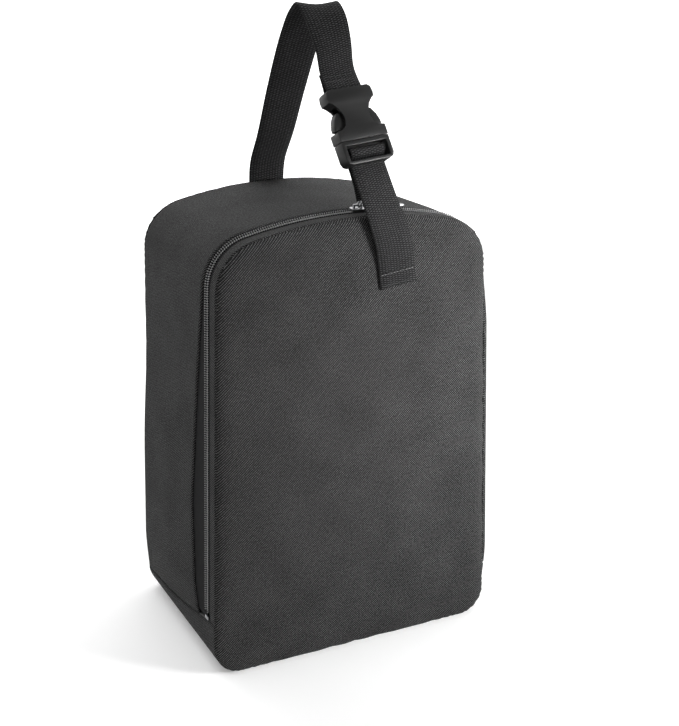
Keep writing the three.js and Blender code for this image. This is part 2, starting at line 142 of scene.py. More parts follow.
floor_paint, _, floor_shader = new_material("matt_white_floor", 0.95)
floor_shader.inputs["Base Color"].default_value = srgb("#f2f2f2")
floor_shader.inputs["Emission Color"].default_value = srgb("#ffffff")
floor_shader.inputs["Emission Strength"].default_value = 0.22
backdrop_paint, _, backdrop_shader = new_material("lit_white_backdrop", 1.0)
backdrop_shader.inputs["Emission Color"].default_value = srgb("#ffffff")
backdrop_shader.inputs["Emission Strength"].default_value = 1.0
floor = stage_plane("floor", 4, Matrix.Identity(4), (0, 0, 0), floor_paint)
facing_camera = Matrix.Rotation(-yaw, 4, "Z") @ Matrix.Rotation(math.radians(90), 4, "X")
backdrop = stage_plane("backdrop", 4, facing_camera, (0.5, 1.1, 0), backdrop_paint)

# ---- Shell fabric ----
# Polyester oxford, yarn-dyed charcoal and coated on the back: matt, with fine diagonal rows of raised yarn,
# coloured with a painted highlight on the rows and painted shade between them. The rows are drawn 1.5 mm
# apart so that they show.
ROW_PITCH = 1.5 * MM
YARN_PITCH = 1.2 * MM
WAVE_PERIOD = math.pi / 10  # period of a band wave at scale 1


def mottle(tree, coordinates, size, low, high, detail=3.0):
    """Variation between low and high, in patches of about size metres."""
    patches = add_node(
        tree, "ShaderNodeTexNoise", {}, {"Vector": coordinates, "Scale": 1 / size, "Detail": detail}
    )
    spread = {"Value": patches.outputs["Fac"], "From Min": 0.3, "From Max": 0.7}
    spread.update({"To Min": low, "To Max": high})
    return add_node(tree, "ShaderNodeMapRange", {}, spread).outputs["Result"]


def maths(tree, operation, *values):
    return add_node(tree, "ShaderNodeMath", {"operation": operation}, dict(enumerate(values))).outputs[0]


def bands(tree, coordinates, direction, pitch, profile="SIN"):
    settings = {"bands_direction": direction, "wave_profile": profile}
    return add_node(
        tree, "ShaderNodeTexWave", settings, {"Vector": coordinates, "Scale": WAVE_PERIOD / pitch}
    ).outputs["Fac"]


def weave_height(tree, uv, turn, row, yarn):
    """Height of a diagonal weave: rows of yarn, broken into short floats along each row."""
    turning = add_node(tree, "ShaderNodeMapping", {}, {"Vector": uv, "Rotation": (0, 0, turn)})
    turned = turning.outputs["Vector"]
    floats = maths(tree, "MULTIPLY_ADD", bands(tree, turned, "Y", yarn), 0.7, 0.3)
    return maths(tree, "MULTIPLY", bands(tree, turned, "X", row), floats)


def blended_colour(tree, factor, dark, light):
    mixed = add_node(
        tree, "ShaderNodeMix", {"data_type": "RGBA"}, {0: factor, 6: srgb(dark), 7: srgb(light)}
    )
    return mixed.outputs[2]


def cloth_material(name, height_of, dark, light, lift, roughness=0.85, slow=(0.035, 0.8, 1.15)):
    """Cloth whose height field height_of(tree, uv) sets its relief and its colour: painted highlight on the
    crests, painted shade in the hollows.
    """
    material, tree, shader = new_material(name, roughness)
    uv = add_node(tree, "ShaderNodeUVMap").outputs["UV"]
    height = height_of(tree, uv)
    speckle = mottle(tree, uv, 0.0016, 0.55, 1.45, 1.0)
    # Colour follows the relief: raised yarn or rib gets a painted highlight and the hollows get painted
    # shade; speckle and slow mottle are the cloth's own uneven tone.
    crest_highlight = maths(tree, "POWER", height, 1.5)
    shade = maths(tree, "MULTIPLY", maths(tree, "MULTIPLY", crest_highlight, speckle), mottle(tree, uv, *slow))
    tree.links.new(blended_colour(tree, shade, dark, light), shader.inputs["Base Color"])
    bump = add_node(tree, "ShaderNodeBump", {}, {"Height": height, "Distance": lift, "Strength": 0.8})
    tree.links.new(bump.outputs["Normal"], shader.inputs["Normal"])
    shader.inputs["Specular IOR Level"].default_value = 0.12
    return material


oxford = cloth_material(
    "woven_polyester_oxford",
    lambda tree, uv: weave_height(tree, uv, math.radians(45), ROW_PITCH, YARN_PITCH),
    "#030303",
    "#6c6c6c",
    0.3 * MM,
)

# The bag's arch, from which every sewn panel is cut: flat base, round corners, leaning sides and
# a shallow crown. Distance runs anticlockwise from the middle of the base, seen from the front.
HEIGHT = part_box("side_gusset")[1].z
SEAM_Y = 77 * MM
LOW_X, LOW_Z, LOW_R = 96.7 * MM, 21 * MM, 21 * MM
TOP_X, TOP_Z, TOP_R = 70.7 * MM, 300.4 * MM, 37.6 * MM
BULGE = 4.2 * MM
BULGE_RUN = 12 * MM
crown_drop = HEIGHT - TOP_Z
CROWN_R = (TOP_X**2 + crown_drop**2 - TOP_R**2) / (2 * (crown_drop - TOP_R))
CROWN_Z = HEIGHT - CROWN_R
crown_angle = math.atan2(TOP_Z - CROWN_Z, TOP_X)
corner_gap = math.hypot(TOP_X - LOW_X, TOP_Z - LOW_Z)
lean = math.asin((LOW_R - TOP_R) / corner_gap) + math.atan2(LOW_X - TOP_X, TOP_Z - LOW_Z)
side_start = Vector((LOW_X + LOW_R * math.cos(lean), LOW_Z + LOW_R * math.sin(lean)))
side_end = Vector((TOP_X + TOP_R * math.cos(lean), TOP_Z + TOP_R * math.sin(lean)))
STRETCHES = [
    LOW_X,
    LOW_R * (math.pi / 2 + lean),
    (side_end - side_start).length,
    TOP_R * (crown_angle - lean),
    CROWN_R * (math.pi / 2 - crown_angle),
]
ROUND = 2 * sum(STRETCHES)


def arch_at(distance):
    """Place (x, z) and outward direction (x, z) at a distance round the outer arch."""
    distance = distance % ROUND
    mirrored = distance > ROUND / 2
    left = ROUND - distance if mirrored else distance
    base, low, straight, top, _ = STRETCHES
    arcs = [
        (base + low, LOW_X, LOW_Z, LOW_R, -math.pi / 2, base),
        (base + low + straight, 0, 0, 0, 0, 0),
        (base + low + straight + top, TOP_X, TOP_Z, TOP_R, lean, base + low + straight),
        (ROUND, 0, CROWN_Z, CROWN_R, crown_angle, base + low + straight + top),
    ]
    if left <= base:
        place, out = (left, 0.0), (0.0, -1.0)
    else:
        _, x, z, radius, start, begins = next(arc for arc in arcs if left <= arc[0])
        if radius:
            angle = start + (left - begins) / radius
            out = (math.cos(angle), math.sin(angle))
            place = (x + radius * out[0], z + radius * out[1])
        else:
            point = side_start.lerp(side_end, (left - base - low) / straight)
            place, out = (point.x, point.y), (math.cos(lean), math.sin(lean))
    side = -1 if mirrored else 1
    return (side * place[0], place[1]), (side * out[0], out[1])


def distance_at_height(z):
    """Distance up the right side where the arch's outer face is at height z."""
    low, high = STRETCHES[0], sum(STRETCHES[:3])
    for _ in range(30):
        middle = (low + high) / 2
        if arch_at(middle)[0][1] < z:
            low = middle
        else:
            high = middle
    return low


def ramp(value, start, end):
    """0 at start, 1 at end, smooth between them."""
    t = min(1.0, max(0.0, (value - start) / (end - start)))
    return t * t * (3 - 2 * t)


def rounded(gap, run):
    """A quarter round: 0 at a seam, rising to 1 at a distance run from it."""
    return math.sqrt(max(0.0, 1 - (1 - min(1.0, max(0.0, gap) / run)) ** 2))


CROWN_ROLL = 0.34 * MM  # how far the crown and the left wall stand out everywhere
FRONT_ROLL = 5.5 * MM  # how far the right wall stands out beside the front seam
BACK_BULGE = 4 * MM  # how far the left wall bulges low down towards the back
ROLL = 4.5 * MM  # width of the roll of wall beside a seam
CROWN_SAG = 2.3 * MM


def wall_swell(distance, y):
    """How far the side wall stands out past the arch of its seams."""
    (x, z), _ = arch_at(distance)
    roll = rounded(SEAM_Y - abs(y), ROLL)
    above_base = ramp(z, 4 * MM, 60 * MM)
    if x > 0:
        return (FRONT_ROLL * (1 - ramp(z, 245 * MM, 315 * MM)) + CROWN_ROLL) * above_base * roll
    low = (1 - ramp(z, 130 * MM, 240 * MM)) * ramp(y, -50 * MM, 25 * MM)
    return (BACK_BULGE * low + CROWN_ROLL) * above_base * roll


def settled(point):
    """Lets the padded crown sag a little towards the back."""
    point.z -= CROWN_SAG * ramp(point.y, -45 * MM, 40 * MM) * ramp(point.z, 290 * MM, 338 * MM)
    return point


def on_wall(distance, depth, y):
    """A point at a depth below the side wall's outer face."""
    place, out = arch_at(distance)
    drawn_in = depth - wall_swell(distance, y)
    return settled(Vector((place[0] - drawn_in * out[0], y, place[1] - drawn_in * out[1])))


def crowded(t, share=0.35):
    """Spreads 0..1 so that grid lines crowd towards both ends."""
    return (1 - share) * t + share * (0.5 - 0.5 * math.cos(math.pi * t))


def laid_grid(columns, rows, place, paint=None):
    """A grid of cloth: place(u, v) puts each point, paint(u, v, point) gives its cloth coordinates."""
    bm = bmesh.new()
    bmesh.ops.create_grid(bm, x_segments=columns, y_segments=rows, size=0.5)
    spots = {v: (v.co.x + 0.5, v.co.y + 0.5) for v in bm.verts}
    for v, spot in spots.items():
        v.co = place(*spot)
    layer = bm.loops.layers.uv.new("UVMap")
    for face in bm.faces:
        for loop in face.loops:
            loop[layer].uv = paint(*spots[loop.vert], loop.vert.co)
    return bm


def to_piece(bm, name, material, body=None, replaces=(), slot=None, outwards=None):
    """A finished bmesh as a smooth object with one material, riding on its body."""
    mesh = bpy.data.meshes.new(name)
    bm.to_mesh(mesh)
    bm.free()
    mesh.shade_smooth()
    if outwards:
        facing = sum((p.normal * p.area for p in mesh.polygons), Vector())
        if facing.dot(Vector(outwards)) < 0:
            mesh.flip_normals()
    mesh.materials.append(material)
    piece = bpy.data.objects.new(name, mesh)
    bpy.context.scene.collection.objects.link(piece)
    if body:
        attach(piece, body)
    if replaces:
        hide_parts(*replaces)
    return piece


def thicken(piece, thickness, offset=-1.0):
    """Gives cloth its thickness, inwards from its outer face unless offset says otherwise."""
    solid = piece.modifiers.new("thickness", "SOLIDIFY")
    solid.thickness = thickness
    solid.offset = offset
    return piece


def soften(piece, width, segments=2, angle=35):
    """Rounds a piece's edges."""
    bevel = piece.modifiers.new("rounded edges", "BEVEL")
    bevel.width = width
    bevel.segments = segments
    bevel.limit_method = "ANGLE"
    bevel.angle_limit = math.radians(angle)
    return piece


def turned_in(gap, depth=1.1 * MM, run=2.4 * MM):
    """How far cloth dips where its edge is turned into a seam, at a distance gap from that edge."""
    return depth * (1 - rounded(gap, run))


def ripple(point, size, height, seed):
    """Soft unevenness of padded cloth, the same on every run."""
    return height * noise.noise(point / size + Vector((seed, 2.3 * seed, 0.7)))


# ---- Padded panels: front and back ----
# Each is one piece of oxford over 4 mm sheet foam and a lining, sewn in all round, so it stands
# out from its seam in a soft rounded border, with a low swell below the middle.
outline_x, outline_z = np.array([arch_at(ROUND * i / 720)[0] for i in range(720)]).T
quarter_low = STRETCHES[0] + STRETCHES[1] * 0.5
quarter_top = sum(STRETCHES[:3]) + STRETCHES[3] * 0.5


def to_seam(x, z):
    return float(np.sqrt((outline_x - x) ** 2 + (outline_z - z) ** 2).min())


def panel_place(u, v, inset):
    """A point (x, z) of the arch at u across and v up, blended in from its four sides."""
    def side(distance):
        place, out = arch_at(distance)
        return Vector((place[0] - inset * out[0], place[1] - inset * out[1]))

    across = 2 * u - 1
    bottom = side(across * quarter_low)
    top = side(ROUND / 2 - across * (ROUND / 2 - quarter_top))
    left = side(-(quarter_low + (quarter_top - quarter_low) * v))
    right = side(quarter_low + (quarter_top - quarter_low) * v)
    corners = [side(-quarter_low), side(quarter_low), side(-quarter_top), side(quarter_top)]
    flat = (corners[0] * (1 - u) + corners[1] * u) * (1 - v) + (corners[2] * (1 - u) + corners[3] * u) * v
    return bottom * (1 - v) + top * v + left * (1 - u) + right * u - flat


def panel(facing, inset, swell, columns=84, rows=120):
    """The front (facing -1) or back (facing 1) at a depth of inset below the outer face."""
    def place(a, b):
        spot = panel_place(crowded(a), crowded(b), inset)
        gap = max(0.0, to_seam(spot.x, spot.y) - inset)
        border = rounded(gap, BULGE_RUN)
        low = math.exp(-(((spot.y - 140 * MM) / (80 * MM)) ** 2))
        across = max(0.0, 1 - (spot.x / (118 * MM)) ** 2)
        free = 1 - ramp(spot.y, 240 * MM, 280 * MM)  # the webbing lies on the flat part above
        rise = BULGE + swell * low * across
        rise += ripple(Vector((spot.x, 0, spot.y)), 0.05, 1.6 * MM, 3.1 + facing) * free
        return settled(Vector((spot.x, facing * (SEAM_Y - inset + rise * border), spot.y)))

    return laid_grid(columns, rows, place, lambda a, b, co: (co.x, co.z))


def panel_layer(name, facing, inset, thickness, swell, material, body, replaces, slot, fine=True):
    grid = (84, 120) if fine else (40, 56)
    bm = panel(facing, inset, swell, *grid)
    piece = to_piece(bm, name, material, body, replaces, slot, outwards=(0, facing, 0))
    if not body:
        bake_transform(piece)
    return thicken(piece, thickness)


foam = cloth_material(
    "closed_cell_foam",
    lambda tree, uv: mottle(tree, uv, 0.6 * MM, 0.0, 1.0, 1.0),
    "#5a5a5a",
    "#6c6c6c",
    0.03 * MM,
)
lining = cloth_material(
    "plain_woven_lining",
    lambda tree, uv: weave_height(tree, uv, 0, 0.8 * MM, 0.8 * MM),
    "#1e1e1f",
    "#404041",
    0.03 * MM,
)

front_cover = panel_layer(
    "front_panel_cover",
    -1,
    0,
    1.2 * MM,
    3.5 * MM,
    oxford,
    None,
    ["front_panel", "front_panel_foot"],
    "shell_fabric",
)
front_pad = panel_layer(
    "front_pad",
    -1,
    1.5 * MM,
    3.8 * MM,
    2.5 * MM,
    foam,
    None,
    ["front_foam", "foot_foam"],
    "padding_foam",
    fine=False,
)
panel_layer(
    "front_lining_sheet",
    -1,
    5.8 * MM,
    0.8 * MM,
    1.0 * MM,
    lining,
    None,
    ["front_lining"],
    "lining_fabric",
    fine=False,
)
back_cover = panel_layer(
    "back_panel_cover", 1, 0, 1.2 * MM, 3 * MM, oxford, "shell", ["back_panel"], "shell_fabric"
)
back_pad = panel_layer(
    "back_pad", 1, 1.5 * MM, 3.8 * MM, 2 * MM, foam, "shell", ["back_foam"], "padding_foam", fine=False
)
panel_layer(
    "back_lining_sheet",
    1,
    5.8 * MM,
    0.8 * MM,
    1 * MM,
    lining,
    "shell",
    ["back_lining"],
    "lining_fabric",
    fine=False,
)

# ---- Side gusset and bottom band ----
# The gusset is one long strip of padded oxford up the left side, over the top and down the right.
# Its front edge is folded back from the zip, least round the arch and most halfway down the
# sides. The band runs under the base and is turned up to meet it in a seam that falls to the back.
GUSSET_EDGE = [(30, -42), (60, -33), (124, -29), (211, -37), (262, -44), (312, -52), (360, -52)]
BAND_EDGE = [(-77, 42), (-66, 40.4), (-57, 38), (-44, 35.6), (-20, 31), (27, 24.5), (77, 19.5)]
INNER_SEAM_Y = 76.6 * MM
edge_z, edge_y = np.array(GUSSET_EDGE).T * MM
band_y, band_z = np.array(BAND_EDGE).T * MM


def gusset_front(distance):
    return float(np.interp(arch_at(distance)[0][1], edge_z, edge_y))


def band_reach(y):
    """Distance up to the seam between band and gusset."""
    return distance_at_height(float(np.interp(y, band_y, band_z)))


def wall_sheet(front, back, reach, depth, columns, rows, through_base=False):
    """Part of the wall between y = front(s) and back, above reach(y), or below it through the base."""
    def place(a, b):
        u, v = crowded(a, 0.1), crowded(b)
        y = front(0) if through_base else -0.03
        for _ in range(2):
            end = reach(y)
            s = (2 * u - 1) * end if through_base else end + (ROUND - 2 * end) * u
            y = front(s) + (back - front(s)) * v
        to_end = min(u, 1 - u) * abs(2 * end if through_base else ROUND - 2 * end)
        return on_wall(s, depth(y - front(s), back - y, to_end), y)

    length = 0.26 if through_base else 0.85
    return laid_grid(columns, rows, place, lambda a, b, co: (a * length, co.y))


def gusset_dip(from_fold, from_back, from_end):
    return turned_in(from_fold, 1.0 * MM, 1.3 * MM) + turned_in(from_back) + turned_in(from_end)


def band_dip(from_front, from_back, from_end):
    return turned_in(from_front) + turned_in(from_back) + turned_in(from_end)


def level(depth):
    return lambda *gaps: depth


def gusset_reach(y):
    return band_reach(y) + 0.3 * MM


UP = (0, 0, 1)
DOWN = (0, 0, -1)
gusset_bm = wall_sheet(gusset_front, INNER_SEAM_Y, gusset_reach, gusset_dip, 260, 40)
gusset_cover = to_piece(gusset_bm, "side_gusset_cover", oxford, "shell", ["side_gusset"], "shell_fabric", UP)
thicken(gusset_cover, 1.2 * MM)
gusset_pad_bm = wall_sheet(
    lambda s: gusset_front(s) + 7.3 * MM, 75.5 * MM, gusset_reach, level(1.5 * MM), 110, 16
)
gusset_pad = to_piece(gusset_pad_bm, "gusset_pad", foam, "shell", ["gusset_foam"], "padding_foam", UP)
thicken(gusset_pad, 3.8 * MM)
gusset_lining_bm = wall_sheet(
    lambda s: gusset_front(s) + 6.8 * MM, 71 * MM, gusset_reach, level(5.8 * MM), 120, 20
)
gusset_inner = to_piece(
    gusset_lining_bm, "gusset_lining_sheet", lining, "shell", ["gusset_lining"], "lining_fabric", UP
)
thicken(gusset_inner, 0.8 * MM)

BAND_FABRIC = ("bottom_band_cover", oxford, "bottom_band", "shell_fabric")
BAND_PAD = ("base_pad", foam, "base_foam", "padding_foam")
BAND_LINING = ("base_lining_sheet", lining, "base_lining", "lining_fabric")
band_layers = [
    (*BAND_FABRIC, -INNER_SEAM_Y, INNER_SEAM_Y, band_dip, 1.2 * MM),
    (*BAND_PAD, -71 * MM, 75.5 * MM, level(1.5 * MM), 3.8 * MM),
    (*BAND_LINING, -71 * MM, 71 * MM, level(5.8 * MM), 0.8 * MM),
]
for name, material, node, slot, front_y, back_y, depth, thickness in band_layers:
    bm = wall_sheet(lambda s: front_y, back_y, band_reach, depth, 110, 50, through_base=True)
    piece = to_piece(bm, name, material, "shell", [node], slot, DOWN)
    thicken(piece, thickness)

# ---- Flap edge strip ----
# A narrow strip of oxford between the front seam and the zip, folded under beside the coil. It
# goes with the front flap, so it stops at the flap's fold line.
FOLD_Z = 42 * MM
STRIP_EDGE_Y = -65.6 * MM
flap_reach = distance_at_height(FOLD_Z + 0.15 * MM)


def strip_dip(from_seam, from_fold, from_end):
    return turned_in(from_seam, 1.2 * MM, 2 * MM) + turned_in(from_fold, 1.0 * MM, 1.3 * MM)


strip_bm = wall_sheet(lambda s: -INNER_SEAM_Y, STRIP_EDGE_Y, lambda y: flap_reach, strip_dip, 260, 20)
strip = to_piece(strip_bm, "flap_edge_strip_cover", oxford, "flap", ["flap_edge_strip"], "shell_fabric", UP)
thicken(strip, 1.2 * MM)

# ---- Zip ----
# A size 5 nylon coil zip: black herringbone tape sewn behind both folded edges, and two rows of
# moulded coil that lock together, with a nickel stop at each lower end.
COIL_PITCH = 1.8 * MM  # drawn larger than life, so that the turns show
TAPE_THICK = 0.6 * MM
ZIP_Y = -60 * MM
TEETH_FROM_Z = 44 * MM
zip_tape = cloth_material(
    "herringbone_zip_tape",
    lambda tree, uv: weave_height(tree, uv, math.radians(20), 0.9 * MM, 1.1 * MM),
    "#0d0d0e",
    "#2a2a2b",
    0.05 * MM,
    slow=(0.02, 0.9, 1.1),
)
tape_bm = wall_sheet(lambda s: -75.2 * MM, ZIP_Y - 0.7 * MM, lambda y: flap_reach, level(1.5 * MM), 220, 6)
flap_tape = to_piece(tape_bm, "zip_tape_flap_side", zip_tape, "flap", ["zip_inner_tape"], "zip_tape", UP)
thicken(flap_tape, TAPE_THICK)


def tape_place(a, b):
    s = band_reach(ZIP_Y) + 0.4 * MM
    s += (ROUND - 2 * s) * a
    y = ZIP_Y + 0.7 * MM + (gusset_front(s) + 7 * MM - ZIP_Y - 0.7 * MM) * b
    s = max(s, band_reach(y) + 0.4 * MM)
    s = min(s, ROUND - band_reach(y) - 0.4 * MM)
    return on_wall(s, 1.5 * MM, y)


tape_bm = laid_grid(220, 10, tape_place, lambda a, b, co: (a * 0.85, co.y))
shell_tape = to_piece(tape_bm, "zip_tape_shell_side", zip_tape, "shell", ["zip_outer_tape"], "zip_tape", UP)
thicken(shell_tape, TAPE_THICK)

# Moulded nylon monofilament, black in itself and glossy; its pale grey base colour is a painted highlight on
# each turn.
coil_nylon, _, coil_shader = new_material("nylon_coil_painted_highlight", 0.28)
coil_shader.inputs["Base Color"].default_value = srgb("#8c8c8c")
coil_shader.inputs["Specular IOR Level"].default_value = 0.8


def coil_turn():
    """One turn of coil, crown up, head towards +y: x along the zip and z out of the bag."""
    bm = bmesh.new()
    for length, width, height, y, z in [(1.5, 0.85, 1.2, -2.45, 0.3), (2.6, 0.4, 0.6, -0.9, -0.6)]:
        made = bmesh.ops.create_uvsphere(bm, u_segments=6, v_segments=5, radius=0.5)["verts"]
        bmesh.ops.scale(bm, vec=Vector((width, length, height)) * MM, verts=made)
        bmesh.ops.translate(bm, vec=Vector((0, y, z)) * MM, verts=made)
    mesh = bpy.data.meshes.new("coil_turn")
    bm.to_mesh(mesh)
    bm.free()
    return mesh


def wall_frame(distance, y, depth=0.0, turned=False):
    """The matrix of a small piece on the wall: x along the arch, z outwards."""
    (_, _), out = arch_at(distance)
    outward = Vector((out[0], 0, out[1]))
    across = Vector((0, -1 if turned else 1, 0))
    along = across.cross(outward)
    matrix = Matrix((along, across, outward)).transposed().to_4x4()
    matrix.translation = on_wall(distance, depth, y)
    return matrix


def coil_row(phase, turned):
    bm = bmesh.new()
    turn = coil_turn()
    first = distance_at_height(TEETH_FROM_Z) + phase * COIL_PITCH
    for i in range(int((ROUND - 2 * first) / COIL_PITCH)):
        before = len(bm.verts)
        bm.from_mesh(turn)
        bm.verts.ensure_lookup_table()
        matrix = wall_frame(first + i * COIL_PITCH, ZIP_Y, turned=turned)
        bmesh.ops.transform(bm, matrix=matrix, verts=bm.verts[before:])
    bpy.data.meshes.remove(turn)
    return bm


to_piece(coil_row(0.0, False), "zip_coil_flap_side", coil_nylon, "flap", ["zip_inner_teeth"], "zip_coil")
to_piece(coil_row(0.5, True), "zip_coil_shell_side", coil_nylon, "shell", ["zip_outer_teeth"], "zip_coil")

# Bright nickel plate over die-cast zinc, for the stops, sliders and pulls.
nickel, _, nickel_shader = new_material("bright_nickel_plate", 0.3)
nickel_shader.inputs["Base Color"].default_value = srgb("#8f9092")
nickel_shader.inputs["Metallic"].default_value = 1.0

STOP_SIZE = (2.4, 6, 1.8)
for side, distance in [("right", distance_at_height(FOLD_Z)), ("left", ROUND - distance_at_height(FOLD_Z))]:
    bm = bmesh.new()
    bmesh.ops.create_cube(bm, size=1)
    bmesh.ops.scale(bm, vec=Vector(STOP_SIZE) * MM, verts=bm.verts)
    bmesh.ops.bevel(
        bm, geom=bm.edges[:], offset=0.4 * MM, segments=2, profile=0.5, affect="EDGES", material=-1
    )
    bmesh.ops.transform(bm, matrix=wall_frame(distance, ZIP_Y, 0.3 * MM), verts=bm.verts)
    to_piece(bm, f"end_stop_{side}", nickel, "shell", [f"zip_end_stop_{side}"], "slider_metal")


def from_cad(node, material, body, slot, edge):
    """The exact shape of a moulded or cast piece with its edges rounded."""
    source = bpy.data.objects[node]
    bm = bmesh.new()
    bm.from_mesh(source.data)
    bmesh.ops.transform(bm, matrix=source.matrix_world, verts=bm.verts)
    bmesh.ops.remove_doubles(bm, verts=bm.verts, dist=0.01 * MM)
    bmesh.ops.dissolve_limit(bm, angle_limit=math.radians(2), verts=bm.verts, edges=bm.edges)
    bmesh.ops.recalc_face_normals(bm, faces=bm.faces)
    piece = to_piece(bm, node + "_finished", material, body, [node], slot)
    soften(piece, edge, 3, 28)
    return piece


for side in ("left", "right"):
    from_cad(f"zip_slider_{side}", nickel, f"slider_{side}", "slider_metal", 0.3 * MM)
    from_cad(f"zip_pull_{side}", nickel, f"pull_{side}", "slider_metal", 0.25 * MM)


# ---- Back seam binding and base board ----
# Inside, a woven tape covers the raw edges of the back seam. A thin polyethylene board stiffens
# the floor.
binding_tape = cloth_material(
    "woven_binding_tape",
    lambda tree, uv: weave_height(tree, uv, 0, 1.2 * MM, 0.9 * MM),
    "#131314",
    "#2f2f30",
    0.05 * MM,
)
binding_bm = laid_grid(
    200,
    2,
    lambda a, b: on_wall(ROUND * a, 6.9 * MM + wall_swell(ROUND * a, 69 * MM), 68.2 * MM + 1.6 * MM * b),
    lambda a, b, co: (a * 1.05, b * 1.6 * MM),
)
bmesh.ops.remove_doubles(binding_bm, verts=binding_bm.verts, dist=0.01 * MM)
binding = to_piece(binding_bm, "back_seam_tape", binding_tape, "shell", ["back_seam_binding"], "webbing", UP)
thicken(binding, 3.5 * MM)

board_sheet, _, board_shader = new_material("matt_polyethylene_board", 0.6)
board_shader.inputs["Base Color"].default_value = srgb("#8b8b89")
from_cad("base_board", board_sheet, "shell", "base_board", 0.4 * MM)

# ---- Webbing ----
# Flat polypropylene webbing, 30 mm wide and 1.5 mm thick, with soft selvedges and rows of short
# ribs. The lower length is sewn to the front panel and threaded through the male half of the
# buckle. The handle is folded round the female half's bar, stitched to itself and sewn to the back.
RIB_PITCH = 1.6 * MM
RIB_COLUMN = 2.4 * MM
FRONT_WEB_Y = -82.25 * MM
BACK_WEB_Y = 82.25 * MM
WEB_SECTION = [(-14.6, -0.75), (-7, -0.75), (0, -0.75), (7, -0.75), (14.6, -0.75), (15, -0.35), (15, 0.35)]
WEB_SECTION = [Vector(p) * MM for p in WEB_SECTION + [(-x, -y) for x, y in WEB_SECTION] + WEB_SECTION[:1]]


def rib_height(tree, uv):
    """Rows of ribs across the webbing, in columns with every other column half a rib further on."""
    parts = add_node(tree, "ShaderNodeSeparateXYZ", {}, {"Vector": uv}).outputs
    column = maths(tree, "FLOOR", maths(tree, "DIVIDE", parts["X"], RIB_COLUMN))
    shift = maths(tree, "MULTIPLY", maths(tree, "PINGPONG", column, 1.0), RIB_PITCH / 2)
    moved = maths(tree, "ADD", parts["Y"], shift)
    place = add_node(tree, "ShaderNodeCombineXYZ", {}, {"X": parts["X"], "Y": moved}).outputs[0]
    rows = bands(tree, place, "Y", RIB_PITCH)
    columns = maths(tree, "MULTIPLY_ADD", bands(tree, place, "X", RIB_COLUMN), 0.5, 0.5)
    return maths(tree, "MULTIPLY", rows, columns)


# The ribs are coloured from their relief: painted highlight on the crests, painted shade between the rows.
webbing = cloth_material(
    "ribbed_polypropylene_webbing",
    rib_height,
    "#060606",
    "#424243",
    0.3 * MM,
    roughness=0.7,
    slow=(0.02, 0.85, 1.15),
)

BUCKLE_MOUTH = Vector((11.6, -62.1, 398)) * MM
buckle_up = Vector((-0.124, 0.48, 0.867)).normalized()
turned_across = Vector((math.cos(math.radians(8)), math.sin(math.radians(8)), 0))
buckle_across = (turned_across - buckle_up * turned_across.dot(buckle_up)).normalized()
buckle_back = buckle_up.cross(buckle_across)


def on_buckle(y, z, x=0.0):
    return BUCKLE_MOUTH + (buckle_across * x + buckle_back * y + buckle_up * z) * MM


def eased_turn(start, end, t):
    return start.lerp(end, ramp(t, 0, 1))


def smooth_route(knots, steps):
    """Evenly spaced points of a centripetal Catmull-Rom curve through the knots, and its length."""
    p = [2 * knots[0] - knots[1], *knots, 2 * knots[-1] - knots[-2]]
    dense = []
    for p0, p1, p2, p3 in zip(p, p[1:], p[2:], p[3:]):
        d0, d1, d2 = (math.sqrt((b - a).length) for a, b in ((p0, p1), (p1, p2), (p2, p3)))
        leave = ((p1 - p0) / d0 - (p2 - p0) / (d0 + d1) + (p2 - p1) / d1) * d1
        arrive = ((p2 - p1) / d1 - (p3 - p1) / (d1 + d2) + (p3 - p2) / d2) * d1
        for t in np.arange(24) / 24:
            cubic = (2 * p1 - 2 * p2 + leave + arrive) * t**3
            dense.append(p1 + leave * t + (3 * p2 - 3 * p1 - 2 * leave - arrive) * t**2 + cubic)
    dense = np.array(dense + [knots[-1]])
    run = np.concatenate([[0], np.cumsum(np.linalg.norm(np.diff(dense, axis=0), axis=1))])
    even = np.linspace(0, run[-1], steps + 1)
    return [Vector(c) for c in np.array([np.interp(even, run, dense[:, i]) for i in range(3)]).T], run[-1]


def webbing_frames(knots, steps, across_at):
    """Place, width direction and thickness direction at each step of a route, and its length."""
    points, length = smooth_route(knots, steps)
    frames = []
    for i, point in enumerate(points):
        along = (points[min(i + 1, steps)] - points[max(i - 1, 0)]).normalized()
        across = across_at(i / steps)
        across = (across - along * across.dot(along)).normalized()
        frames.append((point, across, along.cross(across)))
    return frames, length


def webbing_piece(name, frames, length, body, node):
    last, corners = len(frames) - 1, len(WEB_SECTION) - 1

    def place(u, v):
        point, across, out = frames[round(v * last)]
        x, y = WEB_SECTION[round(u * corners)]
        return point + across * x + out * y

    bm = laid_grid(corners, last, place, lambda u, v, co: (WEB_SECTION[round(u * corners)].x, v * length))
    bmesh.ops.remove_doubles(bm, verts=bm.verts, dist=0.001 * MM)
    bmesh.ops.holes_fill(bm, edges=bm.edges, sides=0)
    bmesh.ops.recalc_face_normals(bm, faces=bm.faces)
    return to_piece(bm, name, webbing, body, [node], "webbing")


thread_material, _, thread_shader = new_material("spun_polyester_thread", 0.7)
thread_shader.inputs["Base Color"].default_value = srgb("#2c2c2d")
# The pale thread is a painted highlight: glints on the dark stitches of the upper row across the lower
# webbing.
pale_thread, _, pale_shader = new_material("polyester_thread_painted_highlight", 0.7)
pale_shader.inputs["Base Color"].default_value = srgb("#6f6f6f")


